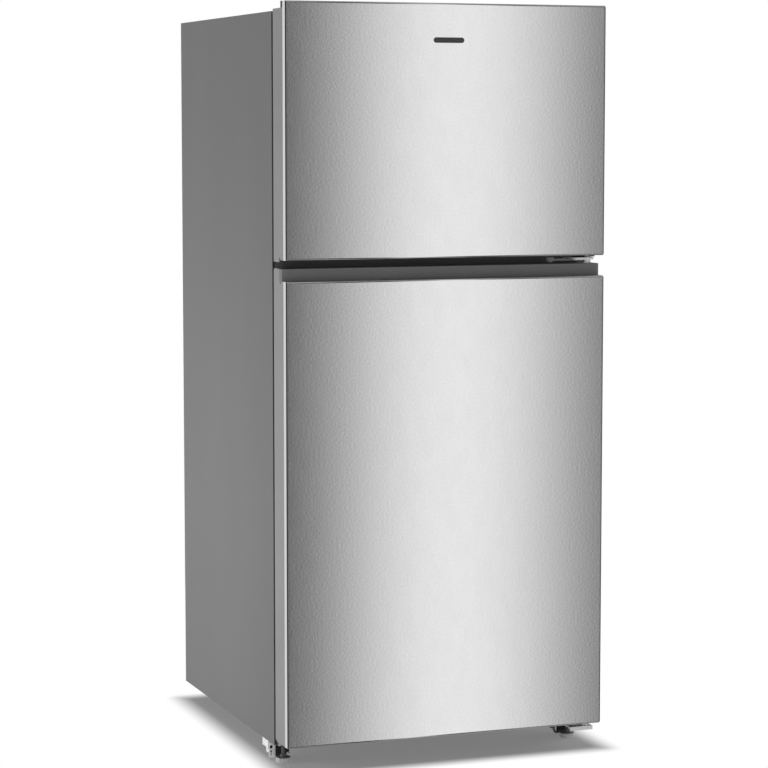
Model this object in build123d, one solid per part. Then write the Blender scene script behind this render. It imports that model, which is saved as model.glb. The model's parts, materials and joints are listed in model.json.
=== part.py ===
from build123d import *
import math
import os

# Top freezer refrigerator, millimetres. X runs to the right seen from the front, Y to the back,
# Z up. The origin is at the floor, under the middle of the whole object. Depths called "deep"
# are measured back from the doors' front face.

# ---- overall size
HALF_WIDTH = 378.0
FRONT = -414.0
BACK = 414.8
CABINET_TOP = 1677.0
CABINET_BOTTOM = 45.0
SHEET = 1.0

# ---- cabinet walls and cavities
CABINET_FRONT = FRONT + 99.0
LINER = 2.0
FLANGE_X = 334.0
CAVITY_X = 328.0
CAVITY_BACK = 359.0
FREEZER_FLOOR = 1165.0
FREEZER_CEILING = 1625.0
FRIDGE_FLOOR = 110.0
FRIDGE_CEILING = 1085.0
HUMP_FRONT = 200.0
HUMP_TOP = 330.0
DECK_TOP = 60.0
MACHINE_FRONT = 244.0
MACHINE_TOP = 285.0
LINER_LIP = 8.0

# ---- doors
DOOR_DEPTH = 89.0
RETURN_DEPTH = 20.0
TRIM = 2.0
BEND = 4.0
FREEZER_DOOR_BOTTOM = 1136.0
FREEZER_DOOR_TOP = 1696.0
FREEZER_REAR_TOP = 1681.5
FREEZER_REAR_BOTTOM = 1131.0
FRIDGE_DOOR_BOTTOM = 58.0
FRIDGE_DOOR_TOP = 1090.0
GRIP_TOP = 1116.5
CAP_HEIGHT = 18.0
CAP_WALL = 3.0
GASKET_X = 354.0
GASKET_WIDTH = 24.0
GASKET_DEPTH = 10.0
DIKE_X = 316.0
DIKE_DEPTH = 35.0
DIKE_WALL = 30.0

# ---- hinges
AXIS_X = 356.0
AXIS_Y = FRONT + 44.0
PIN_R = 5.0
PIN_CLEARANCE = 0.05
ARM_BOTTOM = 1125.0
ARM_TOP = 1130.0
LOW_HINGE_TOP = 45.0

# ---- inside pieces
SHELF_FRONT = -200.0
SHELF_BACK = 330.0
SHELF_X = 326.0
SHELF_TOPS = (560.0, 800.0)
SHELF_THICK = 14.0
CRISPER_COVER_TOP = 330.0
GLASS = 4.0
CRISPER_INNER_X = 4.0
CRISPER_OUTER_X = 324.0
CRISPER_FRONT = -190.0
CRISPER_BACK = 195.0
CRISPER_BOTTOM = 112.0
CRISPER_TOP = 298.0
FREEZER_SHELF_Z = 1390.0
EVAPORATOR_COVER_Y = 288.0
BIN_WALL = 2.5

# ---- running gear
LEG_X = 349.4
LEG_Y = FRONT + 123.0
LEG_DISC_R = 17.0
LEG_DISC_H = 11.5
STUD_R = 4.0
BRACKET_X = 328.0
BRACKET_WIDTH = 44.0
BRACKET_FOLD = 178.0
EAR_DEPTH = 141.0
EAR_BOTTOM = 6.0
EAR_TOP = 44.0
EAR_HOLE_X = 371.5
EAR_HOLE_Z = 31.0
EAR_HOLE_R = 4.0
FRONT_ROLLER_R = 17.0
FRONT_ROLLER_Y = -255.0
FRONT_ROLLER_Z = 19.0
REAR_ROLLER_R = 22.0
REAR_ROLLER_X = 245.0
REAR_ROLLER_Y = 360.0
AXLE_R = 4.0

# Hinge screws and their places.
TOP_SCREWS = ((285, -285), (285, -225), (335, -225))
SCREW_R = 3.0
HEAD_R = 6.0
HEAD_H = 4.5
MIDDLE_SCREWS = ((287.5, 1124),)
BOTTOM_SCREWS = ((329, 53.3), (365, 53.3))

# Door caps and dikes.
CAP_X = HALF_WIDTH - TRIM
CAP_BACK = DOOR_DEPTH - LINER
FREEZER_DIKE = (1175.0, 1615.0)
FRIDGE_DIKE = (120.0, 1075.0)

# Door bins and the dairy tray.
BIN_X = 283.5
BIN_START = DOOR_DEPTH + 0.5
FREEZER_BIN_DEPTH = 84.0
FRIDGE_BIN_DEPTH = 106.0
FREEZER_BINS = ((1226.0, 1306.0), (1420.0, 1500.0))
FRIDGE_BINS = ((370.0, 480.0), (680.0, 770.0))
UPPER_ROW = (975.0, 1045.0)
DAIRY_X = (-283.5, -40.0)
DAIRY_AXIS_Y = FRONT + BIN_START + 95
DAIRY_AXIS_Z = 1038.0
DAIRY_PIN_R = 2.5
DAIRY_DEPTH = 100.0

# Fans, dial and cord gland.
EVAPORATOR_FAN_R = 48.0
EVAPORATOR_FAN_Z = 1520.0
EVAPORATOR_FAN_Y = 306.0
DIAL_X = -75.0
DIAL_Z = 1066.0
CONDENSER_FAN_X = 20.0
CONDENSER_FAN_Y = 326.0
CONDENSER_FAN_Z = 178.0
GLAND_X = -342.0
GLAND_Z = 172.0


def deep(distance):
    """Y of a place that lies this far behind the doors' front face."""
    return FRONT + distance


def block(x0, x1, y0, y1, z0, z1):
    """Box between two corners."""
    centre = Pos((x0 + x1) / 2, (y0 + y1) / 2, (z0 + z1) / 2)
    return centre * Box(x1 - x0, y1 - y0, z1 - z0)


def rod_x(x0, x1, y, z, radius):
    return Pos((x0 + x1) / 2, y, z) * Rot(0, 90, 0) * Cylinder(radius, x1 - x0)


def rod_y(x, y0, y1, z, radius):
    return Pos(x, (y0 + y1) / 2, z) * Rot(90, 0, 0) * Cylinder(radius, y1 - y0)


def rod_z(x, y, z0, z1, radius):
    return Pos(x, y, (z0 + z1) / 2) * Cylinder(radius, z1 - z0)


def ring(half_x, y0, y1, z0, z1, side, bottom, top):
    """Rectangular frame standing in the XZ plane, with its own rail widths."""
    outer = block(-half_x, half_x, y0, y1, z0, z1)
    hole = block(-half_x + side, half_x - side, y0 - 1, y1 + 1, z0 + bottom, z1 - top)
    return outer - hole


def bar_x(outline, x0, x1):
    """Bar along X whose outline is a list of (deep, z) points."""
    points = [(deep(distance), z) for distance, z in outline]
    face = Plane.YZ * Polygon(*points, align=None)
    return Pos(x0, 0, 0) * extrude(face, x1 - x0)


def round_uprights(solid, radius, pick):
    """Fillet the vertical edges that pick accepts."""
    edges = [edge for edge in solid.edges().filter_by(Axis.Z) if pick(edge.center())]
    return fillet(edges, radius)


def mirrored(solid):
    return mirror(solid, Plane.YZ)


# ---- cabinet shell

def side_panel():
    """Right-hand steel side with its front flange, folded 90 degrees."""
    wall = block(HALF_WIDTH - SHEET, HALF_WIDTH, CABINET_FRONT, BACK - SHEET,
                 CABINET_BOTTOM, CABINET_TOP)
    flange = block(FLANGE_X, HALF_WIDTH, CABINET_FRONT, CABINET_FRONT + SHEET,
                   CABINET_BOTTOM, CABINET_TOP - SHEET)
    return wall + flange


def top_panel():
    inner_x = HALF_WIDTH - SHEET
    lid = block(-inner_x, inner_x, CABINET_FRONT, BACK - SHEET, CABINET_TOP - SHEET, CABINET_TOP)
    lip_bottom = FREEZER_CEILING + LINER_LIP
    lip = block(-FLANGE_X, FLANGE_X, CABINET_FRONT, CABINET_FRONT + SHEET, lip_bottom, CABINET_TOP)
    return lid + lip


def back_panel():
    """Flat steel back, down to the roof of the machine space."""
    return block(-HALF_WIDTH, HALF_WIDTH, BACK - SHEET, BACK, MACHINE_TOP, CABINET_TOP)


def fridge_section(grow):
    """Outline of the fridge cavity in (y, z), grown outwards by the liner's thickness."""
    return [
        (CABINET_FRONT - 1, FRIDGE_FLOOR - grow),
        (HUMP_FRONT + grow, FRIDGE_FLOOR - grow),
        (HUMP_FRONT + grow, HUMP_TOP - grow),
        (CAVITY_BACK + grow, HUMP_TOP - grow),
        (CAVITY_BACK + grow, FRIDGE_CEILING + grow),
        (CABINET_FRONT - 1, FRIDGE_CEILING + grow),
    ]


def fridge_room(grow):
    half = CAVITY_X + grow
    return Pos(-half, 0, 0) * extrude(Plane.YZ * Polygon(*fridge_section(grow), align=None), 2 * half)


def freezer_room(grow):
    half = CAVITY_X + grow
    return block(-half, half, CABINET_FRONT - 1, CAVITY_BACK + grow,
                 FREEZER_FLOOR - grow, FREEZER_CEILING + grow)


def liner_lip(z0, z1):
    """Flat rim of a liner, lying in the plane of the steel flanges."""
    rim = FLANGE_X - CAVITY_X
    return ring(FLANGE_X, CABINET_FRONT, CABINET_FRONT + SHEET, z0 - LINER_LIP, z1 + LINER_LIP,
                rim, LINER_LIP, LINER_LIP)


def shelf_ledges(tops, y0, y1):
    """Pairs of moulded ledges on a cavity's side walls, under each shelf height."""
    ledges = []
    for top in tops:
        for side in (-1, 1):
            inner = side * (CAVITY_X - 9)
            outer = side * (CAVITY_X + LINER / 2)
            ledges.append(block(min(inner, outer), max(inner, outer), y0, y1, top - 9, top))
    return ledges


def front_open(room, y0):
    """The room's part behind the plane y0."""
    keep = block(-HALF_WIDTH, HALF_WIDTH, y0, BACK, 0, CABINET_TOP)
    return room & keep


def freezer_liner():
    shell = front_open(freezer_room(LINER), CABINET_FRONT + SHEET) - freezer_room(0)
    shell += liner_lip(FREEZER_FLOOR, FREEZER_CEILING)
    for ledge in shelf_ledges((FREEZER_SHELF_Z - 4,), -215, 275):
        shell += ledge
    return shell


def fridge_liner():
    shell = front_open(fridge_room(LINER), CABINET_FRONT + SHEET) - fridge_room(0)
    shell += liner_lip(FRIDGE_FLOOR, FRIDGE_CEILING)
    tops = [top - SHELF_THICK for top in SHELF_TOPS]
    tops.append(CRISPER_COVER_TOP - 22)
    for ledge in shelf_ledges(tops, SHELF_FRONT, HUMP_FRONT - 5):
        shell += ledge
    return shell


def cabinet_foam():
    """Rigid foam between the steel outside and the two liners, stepped over the machine space."""
    inner_x = HALF_WIDTH - SHEET
    body = block(-inner_x, inner_x, CABINET_FRONT + SHEET, BACK - SHEET,
                 DECK_TOP, CABINET_TOP - SHEET)
    body -= block(-inner_x, inner_x, MACHINE_FRONT, BACK, DECK_TOP, MACHINE_TOP)
    body -= freezer_room(LINER)
    body -= fridge_room(LINER)
    return body


def mullion_rail():
    """Steel rail between the two openings, which both door seals grip."""
    return block(-FLANGE_X, FLANGE_X, CABINET_FRONT, CABINET_FRONT + SHEET,
                 FRIDGE_CEILING + LINER_LIP, FREEZER_FLOOR - LINER_LIP)


def bottom_deck():
    """Folded sheet under the foam: front flange, floor, riser and roof of the machine space."""
    inner_x = HALF_WIDTH - SHEET
    lip = block(-FLANGE_X, FLANGE_X, CABINET_FRONT, CABINET_FRONT + SHEET,
                CABINET_BOTTOM, FRIDGE_FLOOR - LINER_LIP)
    floor = block(-inner_x, inner_x, CABINET_FRONT + SHEET, MACHINE_FRONT + SHEET,
                  DECK_TOP - SHEET, DECK_TOP)
    riser = block(-inner_x, inner_x, MACHINE_FRONT, MACHINE_FRONT + SHEET,
                  DECK_TOP - SHEET, MACHINE_TOP)
    roof = block(-inner_x, inner_x, MACHINE_FRONT, BACK - SHEET, MACHINE_TOP - SHEET, MACHINE_TOP)
    return lip + floor + riser + roof


# ---- brackets, legs and rollers

def front_bracket():
    """Right-hand galvanised bracket that holds a leg and a roller."""
    fold = deep(BRACKET_FOLD)
    bottom = LEG_DISC_H + 1.5
    top_z = DECK_TOP - SHEET
    outer_x = BRACKET_X + BRACKET_WIDTH
    outer = block(outer_x - 2, outer_x, deep(163), fold, bottom, top_z)
    outer += block(outer_x - 2, outer_x, fold - 2, deep(206), 23, 42)
    link_x = outer_x - 10
    web = block(link_x, outer_x, fold - 2, fold, bottom, top_z)
    web += block(link_x, link_x + 2, deep(EAR_DEPTH), fold, bottom, top_z)
    ear_front = deep(EAR_DEPTH)
    ear_back = deep(EAR_DEPTH + 2)
    ear = block(link_x, outer_x + 5, ear_front, ear_back, EAR_BOTTOM, EAR_TOP)
    ear -= rod_y(EAR_HOLE_X, ear_front - 1, ear_back + 1, EAR_HOLE_Z, EAR_HOLE_R)
    ear -= block(EAR_HOLE_X - 2.5, EAR_HOLE_X + 2.5, ear_front - 1, ear_back + 1, EAR_BOTTOM + 5, 23)
    inner = block(BRACKET_X, BRACKET_X + 2, deep(139), fold, bottom, top_z)
    top = block(BRACKET_X, outer_x, deep(100), fold, top_z - 2, top_z)
    tab = block(BRACKET_X + 6, link_x + 2, deep(108), ear_back, EAR_TOP - 4, EAR_TOP)
    tab -= rod_z(LEG_X, LEG_Y, EAR_TOP - 5, EAR_TOP + 1, STUD_R + PIN_CLEARANCE)
    axle = rod_x(BRACKET_X, outer_x, FRONT_ROLLER_Y, FRONT_ROLLER_Z, AXLE_R)
    return outer + web + ear + inner + top + tab + axle


def leveling_leg():
    """Right-hand leg: knurled disc with a washer face and a threaded stud."""
    disc = rod_z(LEG_X, LEG_Y, 0, LEG_DISC_H, LEG_DISC_R)
    disc = fillet(disc.edges().filter_by(GeomType.CIRCLE), 1.2)
    notches = 28
    for step in range(notches):
        angle = 2 * math.pi * step / notches
        x = LEG_X + (LEG_DISC_R + 0.6) * math.cos(angle)
        y = LEG_Y + (LEG_DISC_R + 0.6) * math.sin(angle)
        disc -= rod_z(x, y, 2.5, LEG_DISC_H + 1, 1.3)
    collar = rod_z(LEG_X, LEG_Y, LEG_DISC_H, LEG_DISC_H + 6, 7)
    stud = rod_z(LEG_X, LEG_Y, LEG_DISC_H, 55, STUD_R)
    return disc + collar + stud


def roller(x0, x1, y, z, radius, bore):
    wheel = rod_x(x0, x1, y, z, radius)
    wheel = fillet(wheel.edges().filter_by(GeomType.CIRCLE), 2.5)
    for face_x in (x0, x1):
        groove = rod_x(face_x - 2, face_x + 2, y, z, radius * 0.72)
        groove -= rod_x(face_x - 2, face_x + 2, y, z, radius * 0.42)
        wheel -= groove
    return wheel - rod_x(x0 - 1, x1 + 1, y, z, bore)


def front_roller():
    return roller(334, 360, FRONT_ROLLER_Y, FRONT_ROLLER_Z, FRONT_ROLLER_R, AXLE_R + PIN_CLEARANCE)


def rear_roller():
    half = 10.5
    return roller(REAR_ROLLER_X - half, REAR_ROLLER_X + half, REAR_ROLLER_Y, REAR_ROLLER_R,
                  REAR_ROLLER_R, AXLE_R + PIN_CLEARANCE)


def rear_base_plate():
    """Steel plate that carries the compressor, with the rear rollers' ears and axles."""
    half = HALF_WIDTH - 2
    plate = block(-half, half, MACHINE_FRONT + 2, BACK - 3, 46, 48)
    for side in (-1, 1):
        for offset in (-14, 12):
            x = side * REAR_ROLLER_X + offset
            plate += block(x, x + 2, REAR_ROLLER_Y - 20, REAR_ROLLER_Y + 20, 14, 46)
        x = side * REAR_ROLLER_X
        plate += rod_x(x - 14, x + 14, REAR_ROLLER_Y, REAR_ROLLER_R, AXLE_R)
    for x in (-274, -146):
        plate -= rod_z(x, 335, 40, 50, 4)
    return plate


# ---- hinges

def top_hinge():
    """Cranked plate on the cabinet's top with an arm over the freezer door and a pin down."""
    foot = block(266, 352, -305, -205, CABINET_TOP, CABINET_TOP + 3)
    riser = block(324, 348, -308, -305, CABINET_TOP, CABINET_TOP + 10)
    arm = block(324, 348, AXIS_Y - 7, -305, CABINET_TOP + 7, CABINET_TOP + 10)
    boss = rod_z(AXIS_X, AXIS_Y, CABINET_TOP + 7, CABINET_TOP + 10, 7)
    neck = block(345, AXIS_X, AXIS_Y - 3.5, AXIS_Y + 3.5, CABINET_TOP + 7, CABINET_TOP + 10)
    pin = rod_z(AXIS_X, AXIS_Y, CABINET_TOP - 12, CABINET_TOP + 8, PIN_R)
    plate = foot + riser + arm + boss + neck + pin
    for x, y in TOP_SCREWS:
        plate -= rod_z(x, y, CABINET_TOP - 1, CABINET_TOP + 5, SCREW_R + 0.2)
    return plate


def hinge_cover_outline(inset, z0, z1):
    """Solid under the hinge cover's outer face, moved inwards by inset."""
    arm = block(321 + inset, 351 - inset, AXIS_Y - 9 + inset, -300, z0, z1)
    boss = rod_z(AXIS_X, AXIS_Y, z0, z1, 9 - inset)
    return arm + boss


def top_hinge_cover():
    top = FREEZER_DOOR_TOP - 0.5
    over_door = CABINET_TOP + 6
    shell = hinge_cover_outline(0, over_door, top)
    rear = block(258, 360, -312, -196, CABINET_TOP, top)
    rear = round_uprights(rear, 10, lambda c: c.Y > -250 or c.X < 300)
    shell += rear
    hollow = block(260, 358, -310, -198, CABINET_TOP - 1, top - 2)
    hollow = round_uprights(hollow, 8, lambda c: c.Y > -250 or c.X < 300)
    hollow += hinge_cover_outline(1.5, over_door - 1, top - 2)
    return shell - hollow


def middle_hinge():
    """Angle plate on the mullion, with an arm forward and a pin up and a pin down."""
    plate_y = CABINET_FRONT - 3
    plate = block(279, 296, plate_y, CABINET_FRONT, 1119, 1129)
    plate += block(295, 374, plate_y, CABINET_FRONT, 1120, ARM_BOTTOM)
    plate += block(318, 370, plate_y, CABINET_FRONT, 1120, ARM_TOP)
    arm = block(318, 370, AXIS_Y - 12, plate_y + 1, ARM_BOTTOM, ARM_TOP)
    arm = round_uprights(arm, 9, lambda c: c.Y < AXIS_Y)
    pins = rod_z(AXIS_X, AXIS_Y, ARM_BOTTOM - 22, ARM_TOP + 26, PIN_R)
    washers = rod_z(AXIS_X, AXIS_Y, GRIP_TOP + 0.5, FREEZER_REAR_BOTTOM - 0.5, 8)
    hinge = plate + arm + pins + washers
    for x, z in MIDDLE_SCREWS:
        hinge -= rod_y(x, plate_y - 1, CABINET_FRONT + 1, z, SCREW_R + 0.2)
    return hinge


def bottom_hinge():
    """Plate under the fridge door, screwed to the cabinet's lower flange, with a pin up."""
    back_y = CABINET_FRONT - 3
    front_y = AXIS_Y - 12
    plate = block(318, 374, front_y, back_y + 1, LOW_HINGE_TOP - 3, LOW_HINGE_TOP)
    plate += block(318, 374, front_y, front_y + 3, LOW_HINGE_TOP - 9, LOW_HINGE_TOP)
    upright = block(318, 374, back_y, CABINET_FRONT, LOW_HINGE_TOP - 3, 61)
    pin = rod_z(AXIS_X, AXIS_Y, LOW_HINGE_TOP - 1, 84, PIN_R)
    spacer = rod_z(AXIS_X, AXIS_Y, LOW_HINGE_TOP - 1, FRIDGE_DOOR_BOTTOM - 5, 8)
    hinge = plate + upright + pin + spacer
    for x, z in BOTTOM_SCREWS:
        hinge -= rod_y(x, back_y - 1, CABINET_FRONT + 1, z, SCREW_R + 0.2)
    return hinge


def screw(length):
    """Hexagon head screw standing on z = 0, with a washer and a short shank below."""
    head = Pos(0, 0, 1.2) * extrude(RegularPolygon(HEAD_R, 6), HEAD_H - 1.2)
    head -= Pos(0, 0, HEAD_H - 2) * extrude(RegularPolygon(3.2, 6), 3)
    washer = rod_z(0, 0, 0, 1.2, HEAD_R + 1)
    shank = rod_z(0, 0, -length, 0, SCREW_R)
    return head + washer + shank


def hinge_screws():
    """All the hinge plates' screws, as separate solids."""
    screws = []
    for x, y in TOP_SCREWS:
        screws.append(Pos(x, y, CABINET_TOP + 3) * screw(3))
    for x, z in MIDDLE_SCREWS + BOTTOM_SCREWS:
        screws.append(Pos(x, CABINET_FRONT - 3, z) * Rot(90, 0, 0) * screw(3))
    return screws


# ---- doors

def door_skin(bottom, top):
    """Steel tray whose returns run back round all four edges."""
    outer = block(-HALF_WIDTH, HALF_WIDTH, FRONT, deep(RETURN_DEPTH), bottom, top)
    outer = fillet(outer.faces().sort_by(Axis.Y)[0].edges(), BEND)
    inner_x = HALF_WIDTH - SHEET
    inner = block(-inner_x, inner_x, FRONT + SHEET, deep(RETURN_DEPTH + BEND + 2),
                  bottom + SHEET, top - SHEET)
    inner = fillet(inner.faces().sort_by(Axis.Y)[0].edges(), BEND - SHEET)
    return outer - inner


def side_trims(outline):
    """The two plastic side plates of a door, from an outline in (deep, z)."""
    right = bar_x(outline, HALF_WIDTH - TRIM, HALF_WIDTH)
    return [mirrored(right), right]


def freezer_side_trims():
    return side_trims([
        (RETURN_DEPTH, FREEZER_DOOR_BOTTOM),
        (43, FREEZER_DOOR_BOTTOM),
        (43, FREEZER_DOOR_BOTTOM + 5),
        (50, FREEZER_DOOR_BOTTOM + 5),
        (50, FREEZER_REAR_BOTTOM),
        (DOOR_DEPTH, FREEZER_REAR_BOTTOM),
        (DOOR_DEPTH, FREEZER_REAR_TOP),
        (RETURN_DEPTH, FREEZER_REAR_TOP),
    ])


def fridge_side_trims():
    return side_trims([
        (RETURN_DEPTH, FRIDGE_DOOR_BOTTOM),
        (50, FRIDGE_DOOR_BOTTOM),
        (50, FRIDGE_DOOR_BOTTOM - 4),
        (60, FRIDGE_DOOR_BOTTOM - 4),
        (DOOR_DEPTH, FRIDGE_DOOR_BOTTOM + 4),
        (DOOR_DEPTH, GRIP_TOP - 4),
        (DOOR_DEPTH - 4, GRIP_TOP),
        (50, GRIP_TOP),
        (50, FRIDGE_DOOR_TOP),
        (44, FRIDGE_DOOR_TOP),
        (44, FRIDGE_DOOR_TOP - 6),
        (40, FRIDGE_DOOR_TOP - 6),
        (40, FRIDGE_DOOR_TOP),
        (RETURN_DEPTH, FRIDGE_DOOR_TOP),
    ])


def cap_bar(d0, d1, z0, z1, x0=-CAP_X, x1=CAP_X):
    return block(x0, x1, deep(d0), deep(d1), z0, z1)


def pin_hole(z0, z1):
    return rod_z(AXIS_X, AXIS_Y, z0, z1, PIN_R + PIN_CLEARANCE)


def both_ends(width, d0, d1, z0, z1):
    """Solid blocks at the cap's two ends, where a pin can go on either side."""
    right = cap_bar(d0, d1, z0, z1, CAP_X - width, CAP_X)
    return mirrored(right) + right


def freezer_top_cap():
    """Dark end cap with the raised front lip that finishes the steel's upper edge."""
    inside = FREEZER_REAR_TOP - CAP_HEIGHT - CAP_WALL
    lip_back = 34
    cap = cap_bar(RETURN_DEPTH, CAP_BACK, FREEZER_REAR_TOP - CAP_WALL, FREEZER_REAR_TOP)
    cap += cap_bar(RETURN_DEPTH, lip_back, FREEZER_REAR_TOP - CAP_WALL, FREEZER_DOOR_TOP)
    cap -= cap_bar(RETURN_DEPTH + CAP_WALL, lip_back - CAP_WALL, inside,
                   FREEZER_DOOR_TOP - CAP_WALL, -CAP_X + CAP_WALL, CAP_X - CAP_WALL)
    for x0 in (-HALF_WIDTH, CAP_X):
        cap += block(x0, x0 + TRIM, deep(RETURN_DEPTH), deep(lip_back),
                     FREEZER_REAR_TOP, FREEZER_DOOR_TOP)
    cap += cap_bar(RETURN_DEPTH, RETURN_DEPTH + CAP_WALL, inside, FREEZER_REAR_TOP)
    cap += cap_bar(CAP_BACK - CAP_WALL, CAP_BACK, inside, FREEZER_REAR_TOP)
    cap += rod_z(AXIS_X, AXIS_Y, inside, FREEZER_REAR_TOP, 12)
    return cap - pin_hole(inside + 3, FREEZER_REAR_TOP + 1)


def freezer_bottom_cap():
    """Lower end cap with the finger recess that pulls the freezer door."""
    front_z = FREEZER_DOOR_BOTTOM
    rear_z = FREEZER_REAR_BOTTOM
    inside = front_z + CAP_HEIGHT + 9
    cap = cap_bar(RETURN_DEPTH, RETURN_DEPTH + CAP_WALL, front_z, inside)
    cap += cap_bar(RETURN_DEPTH, 49, inside - CAP_WALL, inside)
    cap += cap_bar(46, 49, rear_z, inside)
    cap += cap_bar(46, CAP_BACK, rear_z, rear_z + CAP_WALL)
    cap += cap_bar(CAP_BACK - CAP_WALL, CAP_BACK, rear_z, inside)
    cap += both_ends(38, RETURN_DEPTH, 49, front_z, inside)
    cap += rod_z(AXIS_X, AXIS_Y, front_z, inside, 12)
    return cap - pin_hole(front_z - 6, ARM_TOP + 28)


def fridge_top_cap():
    """Upper end cap: the upright grip lip, with the finger channel behind it."""
    inside = FRIDGE_DOOR_TOP - CAP_HEIGHT
    cap = cap_bar(RETURN_DEPTH, 34, FRIDGE_DOOR_TOP - CAP_WALL, FRIDGE_DOOR_TOP)
    cap += cap_bar(RETURN_DEPTH, RETURN_DEPTH + CAP_WALL, inside, FRIDGE_DOOR_TOP)
    cap += cap_bar(30, 34, inside, GRIP_TOP)
    cap += cap_bar(34, 72, FRIDGE_DOOR_TOP - 1, FRIDGE_DOOR_TOP + 2)
    cap += cap_bar(72, 75, FRIDGE_DOOR_TOP - 1, GRIP_TOP)
    cap += cap_bar(72, CAP_BACK, GRIP_TOP - CAP_WALL, GRIP_TOP)
    cap += cap_bar(CAP_BACK - CAP_WALL, CAP_BACK, inside, GRIP_TOP)
    cap += both_ends(36, 34, 75, inside, GRIP_TOP)
    for side in (-1, 1):
        outer = side * HALF_WIDTH
        inner = side * CAP_X
        cap += block(min(outer, inner), max(outer, inner), deep(30), deep(50),
                     FRIDGE_DOOR_TOP, GRIP_TOP)
    return cap - pin_hole(ARM_BOTTOM - 24, GRIP_TOP + 1)


def fridge_bottom_cap():
    """Lower end cap with the bushing for the bottom hinge's pin."""
    low = FRIDGE_DOOR_BOTTOM
    inside = low + 32
    outline = [(RETURN_DEPTH, low), (50, low), (50, low - 4), (60, low - 4),
               (CAP_BACK, low + 3.5), (CAP_BACK, inside), (RETURN_DEPTH, inside)]
    cap = bar_x(outline, -CAP_X, CAP_X)
    pocket = [(RETURN_DEPTH + CAP_WALL, low + CAP_WALL), (62, low + CAP_WALL),
              (CAP_BACK - CAP_WALL, low + 8), (CAP_BACK - CAP_WALL, inside + 1),
              (RETURN_DEPTH + CAP_WALL, inside + 1)]
    cap -= bar_x(pocket, -CAP_X + CAP_WALL, CAP_X - CAP_WALL)
    cap += rod_z(AXIS_X, AXIS_Y, low, inside, 12)
    return cap - pin_hole(low - 5, inside - 4)


def dike(half_x, z0, z1, depth, inset):
    """Raised ring on a door's inner face; inset gives the foam that fills it."""
    return ring(half_x - inset, deep(CAP_BACK), deep(DOOR_DEPTH + depth) - inset, z0 + inset, z1 - inset,
                DIKE_WALL - 2 * inset, DIKE_WALL + 10 - 2 * inset, 20 - 2 * inset)


def door_liner(bottom, top, dike_bottom, dike_top):
    plate = block(-CAP_X, CAP_X, deep(CAP_BACK), deep(DOOR_DEPTH), bottom, top)
    liner = plate + dike(DIKE_X, dike_bottom, dike_top, DIKE_DEPTH, 0)
    return liner - dike(DIKE_X, dike_bottom, dike_top, DIKE_DEPTH, LINER)


def door_foam(skin_bottom, skin_top, core_bottom, core_top, dike_bottom, dike_top):
    front = block(-CAP_X, CAP_X, FRONT + SHEET, deep(RETURN_DEPTH), skin_bottom + SHEET,
                  skin_top - SHEET)
    front = fillet(front.faces().sort_by(Axis.Y)[0].edges(), BEND)
    core = block(-CAP_X, CAP_X, deep(RETURN_DEPTH - 1), deep(CAP_BACK), core_bottom, core_top)
    return front + core + dike(DIKE_X, dike_bottom, dike_top, DIKE_DEPTH, LINER)


def gasket(z0, z1):
    """Bellows seal: a base strip, a narrower neck and the magnet head that meets the cabinet."""
    start = deep(DOOR_DEPTH)
    base = ring(GASKET_X, start, start + 3, z0, z1, GASKET_WIDTH, GASKET_WIDTH, GASKET_WIDTH)
    neck = ring(GASKET_X - 6, start + 3, start + 6.5, z0 + 6, z1 - 6,
                GASKET_WIDTH - 12, GASKET_WIDTH - 12, GASKET_WIDTH - 12)
    head = ring(GASKET_X - 1, start + 6.5, start + GASKET_DEPTH, z0 + 1, z1 - 1,
                GASKET_WIDTH - 3, GASKET_WIDTH - 3, GASKET_WIDTH - 3)
    return base + neck + head


def door_bin(x0, x1, depth, z0, z1):
    """Moulded tub with rounded corners towards the cabinet, open at the top."""
    y0 = deep(BIN_START)
    y1 = deep(BIN_START + depth)
    tub = round_uprights(block(x0, x1, y0, y1, z0, z1), 14, lambda c: c.Y > y1 - 1)
    room = block(x0 + BIN_WALL, x1 - BIN_WALL, y0 + BIN_WALL, y1 - BIN_WALL, z0 + BIN_WALL, z1 + 1)
    room = round_uprights(room, 14 - BIN_WALL, lambda c: c.Y > y1 - BIN_WALL - 1)
    rail = block(x0 + 14, x1 - 14, y1 - 0.5, y1 + 1.5, z1 - 12, z1)
    return tub - room + rail


def freezer_door_bins():
    return [door_bin(-BIN_X, BIN_X, FREEZER_BIN_DEPTH, z0, z1) for z0, z1 in FREEZER_BINS]


def dairy_tray():
    """Half-width tray with tall side walls that hold the dairy cover's pins."""
    x0, x1 = DAIRY_X
    z0, z1 = UPPER_ROW
    y0 = deep(BIN_START)
    y1 = deep(BIN_START + DAIRY_DEPTH)
    tray = block(x0, x1, y0, y1, z0, z1)
    tray -= block(x0 + BIN_WALL, x1 - BIN_WALL, y0 + BIN_WALL, y1 - BIN_WALL, z0 + BIN_WALL, z1 + 1)
    tray -= block(x0 + BIN_WALL, x1 - BIN_WALL, y1 - BIN_WALL - 1, y1 + 1, z0 + 12, z1 + 1)
    return tray - rod_x(x0 - 1, x1 + 1, DAIRY_AXIS_Y, DAIRY_AXIS_Z, DAIRY_PIN_R + PIN_CLEARANCE)


def fridge_door_bins():
    bins = [door_bin(-BIN_X, BIN_X, FRIDGE_BIN_DEPTH, z0, z1) for z0, z1 in FRIDGE_BINS]
    bins.append(door_bin(DAIRY_X[1] + 6, BIN_X, FRIDGE_BIN_DEPTH - 6, *UPPER_ROW))
    bins.append(dairy_tray())
    return bins


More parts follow.
